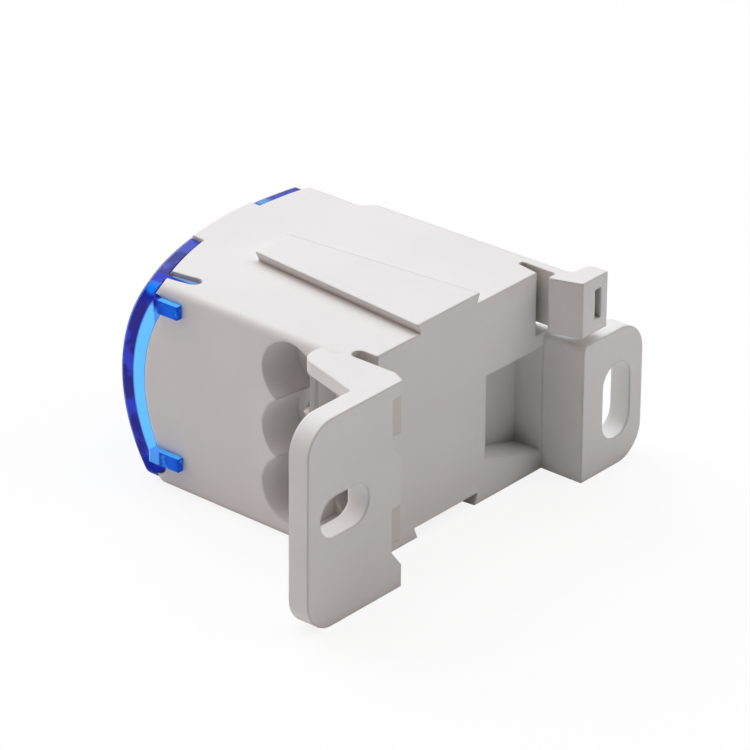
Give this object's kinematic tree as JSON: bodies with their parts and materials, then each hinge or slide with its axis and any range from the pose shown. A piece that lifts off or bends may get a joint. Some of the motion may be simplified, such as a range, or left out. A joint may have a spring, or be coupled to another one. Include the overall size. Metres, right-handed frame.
{
  "type": "din_rail_terminal_block",
  "caption": "Light grey power distribution terminal block for a 35 mm rail, with slotted ears, side dovetails, wire funnels, clamp screws and a clear blue hinged lid.",
  "frame": {"origin": "middle of the seat on the front face of the 35 mm rail, half way along the 29 mm width", "axes": "+X across the rail from the fixed hooks to the spring latch, +Y out of the panel to the lid, +Z along the rail, up as the part lies on its side"},
  "size_m": [0.067, 0.053, 0.0304],
  "materials": {
    "housing_grey": "fine matt moulded polyamide",
    "inner_grey": "matt moulded polyamide",
    "clear_blue": "clear deep-blue moulded polycarbonate",
    "tinned_bar": "tin-plated brass",
    "plated_steel": "zinc-plated steel"
  },
  "bodies": {
    "base": {"housing": "housing_grey", "terminal_bar": "tinned_bar", "deck": "inner_grey"},
    "cover": {"lid": "clear_blue"},
    "line_clamp": {"line_screw": "plated_steel"},
    "front_load_clamp_1": {"front_load_screw_1": "plated_steel"},
    "front_load_clamp_2": {"front_load_screw_2": "plated_steel"},
    "front_load_clamp_3": {"front_load_screw_3": "plated_steel"},
    "rear_load_clamp_1": {"rear_load_screw_1": "plated_steel"},
    "rear_load_clamp_2": {"rear_load_screw_2": "plated_steel"},
    "rear_load_clamp_3": {"rear_load_screw_3": "plated_steel"}
  },
  "joints": [
    {"name": "lid_hinge", "type": "hinge", "parent": "base", "child": "cover", "pos_m": [0.0154, 0.038, 0], "axis": [0, 0, -1], "range_deg": [0, 100]},
    {"name": "line_screw_travel", "type": "slide", "parent": "base", "child": "line_clamp", "axis": [0, -1, 0], "range_m": [0, 0.00628]},
    {"name": "front_load_screw_1_travel", "type": "slide", "parent": "base", "child": "front_load_clamp_1", "axis": [0, -1, 0], "range_m": [0, 0.0045]},
    {"name": "front_load_screw_2_travel", "type": "slide", "parent": "base", "child": "front_load_clamp_2", "axis": [0, -1, 0], "range_m": [0, 0.0045]},
    {"name": "front_load_screw_3_travel", "type": "slide", "parent": "base", "child": "front_load_clamp_3", "axis": [0, -1, 0], "range_m": [0, 0.0045]},
    {"name": "rear_load_screw_1_travel", "type": "slide", "parent": "base", "child": "rear_load_clamp_1", "axis": [0, -1, 0], "range_m": [0, 0.0045]},
    {"name": "rear_load_screw_2_travel", "type": "slide", "parent": "base", "child": "rear_load_clamp_2", "axis": [0, -1, 0], "range_m": [0, 0.0045]},
    {"name": "rear_load_screw_3_travel", "type": "slide", "parent": "base", "child": "rear_load_clamp_3", "axis": [0, -1, 0], "range_m": [0, 0.0045]}
  ]
}
